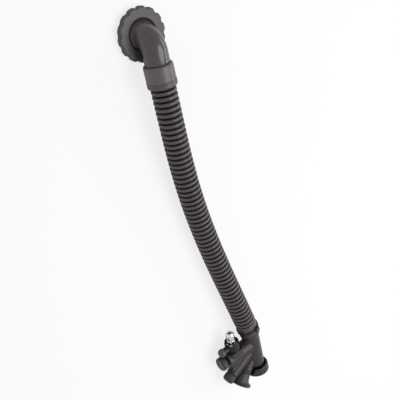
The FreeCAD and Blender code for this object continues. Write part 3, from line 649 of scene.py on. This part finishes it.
# Black nylon, smooth and unworn: darker and glossier than the mouldings round it.
tie_nylon = moulded_material("smooth_black_tie_nylon", "#242222", "#1c1a1a", 0.36, 1.2, 0.01, 8.0,
                             **{"IOR": 1.53, "Specular IOR Level": 0.35})
for piece in (strap, tie_head):
    finish_with(piece, tie_nylon)
    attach(piece, "hose_and_inflator")
    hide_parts("lower_hose_tie")

# ------------------------------------------------------------------ inflator body
# One moulding of glass-filled nylon: the neck that the hose is pushed on, the duct, the barrel of the power
# valve, the outlet barrel beside it and the arm of the mouthpiece, with soft rounds where they meet and the
# mould's parting line round them.
body_voxel = 0.5
body_passes = 9
parting_width = 0.4
parting_height = 0.1


def softened(node, name, voxel_mm, passes):
    """A moulded form of a CAD solid: its edges and its inner corners turned into small rounds.

    A larger voxel and more passes give larger rounds.
    """
    holder = bpy.data.objects.new(name + "_form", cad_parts[node].data.copy())
    bpy.context.scene.collection.objects.link(holder)
    even = holder.modifiers.new("even_mesh", "REMESH")
    even.mode = "VOXEL"
    even.voxel_size = voxel_mm * MM
    relax = holder.modifiers.new("rounds", "SMOOTH")
    relax.factor = 0.5
    relax.iterations = passes
    bpy.context.view_layer.update()
    form = bpy.data.meshes.new_from_object(holder.evaluated_get(bpy.context.evaluated_depsgraph_get()))
    bpy.data.objects.remove(holder)
    return new_piece(name, form)


body = softened("inflator_body", "body_moulded", body_voxel, body_passes)
for vertex in body.data.vertices:
    from_line = abs(vertex.co.z / MM - neck.z) / parting_width
    if from_line < 1:
        vertex.co += vertex.normal * (parting_height * (1 - from_line) * MM)
# Glass-filled nylon, satin: broad soft highlights along the barrels, a fine grain and pale rubbed edges. The
# end cap of the oral valve, deep in the duct's end, is moulded in the same nylon.
body_nylon = moulded_material("moulded_satin_inflator_nylon", "#3b3537", "#2a2627", 0.33, 1.3, 0.03, 16.0,
                              "#5d5859", **{"IOR": 1.53, "Specular IOR Level": 0.35})
finish_with(body, body_nylon)
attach(body, "hose_and_inflator")
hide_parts("inflator_body")
finish_with(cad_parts["oral_end_cap"], body_nylon)

# ------------------------------------------------------------------ nipple guard and clip stud
# A notched cup of darker nylon that keeps knocks and sand off the nipple, and on a pad at its side the round
# stud that the hose's clip snaps over.
guard_voxel = 0.32
guard_passes = 6
guard = softened("nipple_guard", "guard_cup", guard_voxel, guard_passes)
# Darker nylon than the body's, satin, with rubbed edges round the notches.
guard_nylon = moulded_material("moulded_dark_guard_nylon", "#1c1a1a", "#151314", 0.34, 1.0, 0.03, 9.0,
                               "#3e3b3c", **{"IOR": 1.53, "Specular IOR Level": 0.35})
forward = Vector((1, 0, 0))
sideways = Vector((0, -1, 0))
stud_seat = neck + forward * 5.4 + sideways * 52.3
stud_radius = 6.4
stud_height = 9.0
axis_radius = 0.4
stud = turned("clip_stud_head", rounded([
    (-2.4, axis_radius), (-2.4, 2.0), (0.0, 2.0), (0.0, stud_radius - 1.1), (1.0, stud_radius),
    (2.6, stud_radius),
    (2.9, stud_radius - 0.4), (3.4, stud_radius - 0.4), (3.7, stud_radius), (6.0, stud_radius),
    (8.0, stud_radius - 1.5), (stud_height, 3.4), (stud_height, axis_radius)], 0.9, 6),
    stud_seat, sideways, 72, closed=False)
# Paler nylon, dulled by the clip that snaps over it.
stud_nylon = moulded_material("moulded_stud_nylon", "#524c4a", "#423d3c", 0.38, 1.2, 0.02, 8.0, "#615d5b",
                              **{"IOR": 1.53, "Specular IOR Level": 0.4})
for piece, material, node in ((guard, guard_nylon, "nipple_guard"), (stud, stud_nylon, "clip_stud")):
    finish_with(piece, material)
    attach(piece, "hose_and_inflator")
    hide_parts(node)

# ------------------------------------------------------------------ quick connect nipple
# Turned from a brass bar and chromed: a hexagon to screw it in, a waist, a collar, the groove that the
# coupler's balls lock in, and a land with a lead-in. The bronze filter shows deep in its bore.
nipple_offset = 35.8
hexagon_end = neck + sideways * nipple_offset
hexagon_flats = 15.6
hexagon_length = 9.0


def hexagonal(angle, distance, radius):
    """The hexagon at the nipple's root, with its corners turned off a little."""
    if distance > 0.01 or radius < hexagon_flats / 2 - 0.4:
        return radius
    step = math.pi / 3
    offset = (angle + step / 2) % step - step / 2
    return min(hexagon_flats / 2 / math.cos(offset), radius)


nipple = turned("nipple_chromed", rounded([
    (-16.0, 2.5), (-16.0, 4.5), (-hexagon_length - 0.1, 4.5), (-hexagon_length, 8.0),
    (-hexagon_length + 0.6, 8.9), (-0.6, 8.9), (0.0, 8.0), (0.1, 5.8), (1.5, 5.8), (1.5, 6.5), (6.5, 6.5),
    (6.5, 5.3), (10.0, 5.3), (10.0, 6.2), (16.5, 6.2), (19.0, 4.8), (19.5, 4.2), (19.5, 3.0), (18.9, 2.5),
    (5.0, 2.5)], 0.35), hexagon_end, -forward, 96, hexagonal)


def metal_material(name, colour, shade, roughness, mark_mm, mark_height_mm, across_axis):
    """Bare or plated metal with the fine marks that turning, grinding or drawing leaves across an axis."""
    material = bpy.data.materials.new(name)
    material.use_nodes = True
    tree = material.node_tree
    tree.nodes.clear()
    place = add(tree, "ShaderNodeTexCoord").outputs["Object"]
    scale = [1.0 if axis == across_axis else 0.06 for axis in "XYZ"]
    stretch = add(tree, "ShaderNodeMapping", {"Scale": scale}, {"Vector": place})
    marks = add(tree, "ShaderNodeTexNoise", {"Scale": 1 / (mark_mm * MM), "Detail": 2.0},
                {"Vector": stretch.outputs["Vector"]})
    cloud = add(tree, "ShaderNodeTexNoise", {"Scale": 1 / (6.0 * MM), "Detail": 2.0}, {"Vector": place})
    tint = add(tree, "ShaderNodeMix", {"data_type": "RGBA", 6: linear(shade), 7: linear(colour)},
               {0: cloud.outputs["Fac"]})
    gloss = add(tree, "ShaderNodeMapRange", {"To Min": roughness, "To Max": roughness + 0.08},
                {"Value": cloud.outputs["Fac"]})
    bump = add(tree, "ShaderNodeBump", {"Strength": 0.5, "Distance": mark_height_mm * MM},
               {"Height": marks.outputs["Fac"]})
    shader = add(tree, "ShaderNodeBsdfPrincipled", {"Metallic": 1.0},
                 {"Base Color": tint.outputs[2], "Roughness": gloss.outputs["Result"],
                  "Normal": bump.outputs["Normal"]})
    add(tree, "ShaderNodeOutputMaterial", {}, {"Surface": shader.outputs["BSDF"]})
    return material


# Bright chrome over turned brass: it mirrors the white room and the dark cup, with faint turning marks.
chrome = metal_material("bright_chrome_on_turned_brass", "#f4f3f1", "#e6e5e2", 0.13, 0.5, 0.01, "X")
finish_with(nipple, chrome)
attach(nipple, "hose_and_inflator")
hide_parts("qd_nipple")
# Bronze beads sintered into a porous plug: dull gold-brown and grainy.
sintered_bronze = metal_material("sintered_bronze_beads", "#8a6a3c", "#6a4e2a", 0.5, 0.35, 0.15, "X")
finish_with(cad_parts["nipple_filter"], sintered_bronze)
finish_with(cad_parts["nipple_o_ring"], seal_rubber)

# ------------------------------------------------------------------ power valve
# A screwed nylon bonnet, a brass seat turned to size, a ground steel stem with a rubber-faced poppet, a coil
# spring and a hollow button of moulded nylon with finger flutes round its side.
barrel_from_neck = 23.0
barrel_length = 52.0
barrel_end = neck + forward * barrel_from_neck + sideways * barrel_length
button_rest = 3.5
button_radius = 10.5
button_length = 9.5
button_top = 3.0
button_wall = 2.3
flute_count = 24
flute_depth = 0.5
flute_sides = 8


def fluted(count, depth, outer_radius, first, last):
    """Returns a reshape that cuts shallow flutes in the side of a knob between two distances along it."""
    def reshape(angle, distance, radius):
        if radius < outer_radius - 1.4 or distance < first or distance > last:
            return radius
        return radius - depth * max(0.0, math.cos(count * angle)) ** 1.5
    return reshape


def knob_outline(length, radius, wall, floor, rounding, dish):
    """A hollow knob from its inside, round its rim and over its front: a boss inside grips the stem."""
    return rounded([
        (floor, axis_radius), (floor, 2.3), (floor - 4.0, 2.3), (floor - 4.0, 3.8), (floor, 3.8),
        (floor, radius - wall), (0.0, radius - wall), (0.0, radius - 1.2), (1.0, radius),
        (length - rounding, radius), (length - rounding / 2, radius - rounding * 0.25),
        (length - 0.2, radius - rounding), (length, radius - rounding * 1.5), (length - dish, radius * 0.35),
        (length - dish, axis_radius)], 0.7, 5)


button = turned("inflate_button_moulded",
                knob_outline(button_length, button_radius, button_wall, button_length - button_top, 2.0, 0.5),
                barrel_end + sideways * button_rest, sideways, flute_count * flute_sides,
                reshape=fluted(flute_count, flute_depth, button_radius, 0.5, button_length - 1.2),
                closed=False)
# Nylon, satin and dark: the flutes catch thin light lines on their crests.
button_nylon = moulded_material("moulded_button_nylon", "#322e2e", "#272424", 0.33, 1.1, 0.025, 9.0,
                                "#4a4645", **{"IOR": 1.53, "Specular IOR Level": 0.35})
finish_with(button, button_nylon)
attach(button, "inflate_plunger")
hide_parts("inflate_button")


def coil(name, origin, direction, radius, wire_radius, length, turns):
    """A compression spring of round wire whose last half turns lie flat against its neighbours."""
    first, second = across_axes(direction)
    rise = length - 2 * wire_radius
    steps = turns * 36
    rings = []
    for step in range(steps + 1):
        share = step / steps
        flattened = min(max((share * turns - 0.5) / (turns - 1.0), 0.0), 1.0)
        angle = 2 * math.pi * turns * share
        spoke = first * math.cos(angle) + second * math.sin(angle)
        height = wire_radius + rise * (0.9 * flattened + 0.1 * share)
        ring = []
        for column in range(10):
            turn = 2 * math.pi * column / 10
            reach = radius + wire_radius * math.cos(turn)
            ring.append((origin + direction * (height + wire_radius * math.sin(turn)) + spoke * reach) * MM)
        rings.append(ring)
    return new_piece(name, skin_rings(rings, close_ends=True))


spring_gap = 0.3
inflate_spring_foot = barrel_end + sideways * spring_gap
inflate_spring_length = button_rest + button_length - button_top - 2 * spring_gap
inflate_spring_radius = 5.9
inflate_wire_radius = 0.65
inflate_spring_turns = 4
inflate_spring = coil("inflate_spring_wire", inflate_spring_foot, sideways, inflate_spring_radius,
                      inflate_wire_radius, inflate_spring_length, inflate_spring_turns)
# Drawn spring wire, blackened: a dark grey sheen with fine marks along it.
spring_wire = metal_material("blackened_spring_wire", "#3a3837", "#2a2827", 0.34, 0.4, 0.01, "Y")
finish_with(inflate_spring, spring_wire)
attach(inflate_spring, "hose_and_inflator")
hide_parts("inflate_spring")
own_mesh(inflate_spring)
# Free-cutting brass, left bare, and stainless bar, ground bright: both carry fine marks of the tool.
turned_brass = metal_material("turned_brass", "#c9a25c", "#ac8646", 0.24, 0.4, 0.02, "Y")
ground_steel = metal_material("ground_stainless_bar", "#c2c2c1", "#aaaaa9", 0.16, 0.3, 0.01, "Y")
finish_with(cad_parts["valve_seat"], turned_brass)
finish_with(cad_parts["valve_bonnet"], body_nylon)
for node in ("inflate_stem", "oral_stem"):
    finish_with(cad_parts[node], ground_steel)
for node in ("bonnet_o_ring", "poppet_seal", "oral_o_ring", "oral_valve_disc", "outlet_cap_o_ring"):
    finish_with(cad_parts[node], seal_rubber)

# ------------------------------------------------------------------ outlet hand cap
# A screwed knob of moulded nylon that closes the outlet barrel. It is turned off by hand to rinse the valve,
# so its side is fluted. Its plug carries an O-ring in a groove.
outlet_lean = math.radians(65.0)
outlet_axis = Vector((math.cos(outlet_lean), -math.sin(outlet_lean), 0))
outlet_root = Vector((31.6, -2.0, 0.0))
outlet_length = 50.5
outlet_end = neck + outlet_root + outlet_axis * outlet_length
cap_gap = 0.3
cap_radius = 8.8
cap_end = cap_gap + 12.5
cap_plug = 6.95
cap_flutes = 20
cap_flute_depth = 0.6
cap = turned("hand_cap_moulded", rounded([
    (cap_end - 4.0, axis_radius), (cap_end - 4.0, 4.5), (-8.7, 4.5), (-8.7, 6.3), (-8.2, cap_plug),
    (-2.4, cap_plug),
    (-2.4, 5.65), (-0.9, 5.65), (-0.9, cap_plug), (cap_gap, cap_plug), (cap_gap, cap_radius - 0.9),
    (cap_gap + 0.9, cap_radius), (cap_end - 3.4, cap_radius), (cap_end - 1.3, cap_radius - 1.0),
    (cap_end, cap_radius - 3.4), (cap_end, 4.2), (cap_end - 0.35, 3.8),
    (cap_end - 0.35, axis_radius)], 0.9, 6),
    outlet_end, outlet_axis, cap_flutes * flute_sides,
    reshape=fluted(cap_flutes, cap_flute_depth, cap_radius, cap_gap + 0.3, cap_end - 0.8), closed=False)
# Nylon, a little greener and duller than the buttons, with the flutes' crests rubbed pale by fingers.
cap_nylon = moulded_material("moulded_cap_nylon", "#34322f", "#292725", 0.38, 1.1, 0.025, 8.0, "#5d5956",
                             **{"IOR": 1.53, "Specular IOR Level": 0.4})
finish_with(cap, cap_nylon)
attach(cap, "hand_cap")
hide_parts("outlet_cap")

# ------------------------------------------------------------------ oral valve button
# A broad hollow button on the end of the duct, moulded in nylon. Its stem runs through the duct to the rubber
# disc that closes the oral valve, and a coil spring under it pushes it out.
duct_length = 62.0
duct_end = neck + forward * duct_length
end_button_rest = 1.5
end_button_radius = 18.5
end_button_length = 14.0
end_button_voxel = 0.45
end_button_passes = 5
end_flutes = 36
end_flute_depth = 0.4
end_button = softened("deflate_button", "end_button_moulded", end_button_voxel, end_button_passes)
for vertex in end_button.data.vertices:
    from_axis = vertex.co / MM - duct_end
    along_axis = from_axis.x - end_button_rest
    radius = math.hypot(from_axis.y, from_axis.z)
    if radius > end_button_radius - 0.8 and 0.8 < along_axis < end_button_length - 2.6:
        ripple = max(0.0, math.cos(end_flutes * math.atan2(from_axis.z, from_axis.y))) ** 1.5
        vertex.co -= Vector((0, from_axis.y, from_axis.z)) * (end_flute_depth * ripple / radius * MM)
finish_with(end_button, button_nylon)
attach(end_button, "deflate_plunger")
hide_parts("deflate_button")
oral_spring_foot = duct_end + forward * spring_gap
oral_spring_length = end_button_rest + end_button_length - button_top - 2 * spring_gap
oral_spring_radius = 8.0
oral_wire_radius = 0.7
oral_spring_turns = 5
oral_spring = coil("oral_spring_wire", oral_spring_foot, forward, oral_spring_radius, oral_wire_radius,
                   oral_spring_length, oral_spring_turns)
finish_with(oral_spring, spring_wire)
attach(oral_spring, "hose_and_inflator")
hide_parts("oral_spring")
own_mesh(oral_spring)

# ------------------------------------------------------------------ rubber mouthpiece and its tie
# Soft moulded rubber, pushed over the arm's spigot and held by a thin tie. It widens to a slanted oval lip
# that the diver's lips close on, and the lip's lower edge stands on the table.
arm_lean = math.radians(50.0)
lip_turn = math.radians(13.0)
arm_axis = Vector((math.cos(arm_lean), -math.sin(arm_lean), 0))
arm_from_neck = 44.0
mouth_from_arm_root = 28.3
mouth_start = neck + forward * arm_from_neck + arm_axis * mouth_from_arm_root
mouth_bore = 6.9
mouth_socket = 8.5
lip_half_width = 14.6
lip_half_height = 20.5
mouth_sides = 96
mouth_level = arm_axis.cross(up_axis)
# distance along the mouthpiece, then half its width and half its height there
mouth_stations = [
    (14.0, mouth_socket, mouth_socket), (0.0, mouth_socket, mouth_socket), (0.0, 9.8, 9.8),
    (0.3, 10.15, 10.15), (2.1, 10.2, 10.2), (2.2, 9.35, 9.35), (4.9, 9.35, 9.35), (5.0, 10.25, 10.25),
    (8.0, 10.7, 10.8),
    (12.0, 11.4, 11.7), (15.0, 12.1, 12.7), (17.0, 12.6, 13.7), (18.1, 13.0, 15.1), (18.7, 13.4, 16.8),
    (19.0, 13.8, 18.4), (19.2, 14.1, 19.5), (19.6, 14.4, 20.2), (20.4, lip_half_width, lip_half_height),
    (21.2, 14.4, 20.3), (21.8, 13.9, 19.6), (22.1, 13.2, 18.4), (22.0, 11.0, 12.8), (21.7, 9.0, 9.2),
    (21.0, 7.6, 7.6), (20.0, 7.0, 7.0), (18.6, mouth_bore, mouth_bore), (14.0, mouth_bore, mouth_bore)]
mouth_rings = []
for distance, half_width, half_height in mouth_stations:
    turn_share = min(max((distance - 8.0) / 10.0, 0.0), 1.0)
    turn = lip_turn * turn_share ** 2 * (3 - 2 * turn_share)
    ring_level = mouth_level * math.cos(turn) + arm_axis * math.sin(turn)
    ring = []
    for column in range(mouth_sides):
        angle = 2 * math.pi * column / mouth_sides
        ring.append((mouth_start + arm_axis * distance + ring_level * (math.cos(angle) * half_width)
                     + up_axis * (math.sin(angle) * half_height)) * MM)
    mouth_rings.append(ring)
mouth = new_piece("mouthpiece_moulded", skin_rings(mouth_rings, loop=True))
# Soft silicone rubber: satin, without a sharp reflection anywhere.
mouth_rubber = moulded_material("moulded_mouthpiece_rubber", "#403a3b", "#322d2e", 0.42, 1.0, 0.03, 12.0,
                                "#3b3839", **{"IOR": 1.5, "Specular IOR Level": 0.4})
finish_with(mouth, mouth_rubber)
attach(mouth, "hose_and_inflator")
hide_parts("rubber_mouthpiece")
band_from_start = 2.25
band_bore = 9.4
mouth_tie = turned("mouthpiece_tie_band", rounded([
    (0.4, band_bore), (0.0, band_bore), (0.0, 10.0), (0.25, 10.25), (2.35, 10.25), (2.6, 10.0),
    (2.6, band_bore), (0.5, band_bore)], 0.15), mouth_start + arm_axis * band_from_start, arm_axis, 96)
finish_with(mouth_tie, tie_nylon)
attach(mouth_tie, "hose_and_inflator")
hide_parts("mouthpiece_tie")
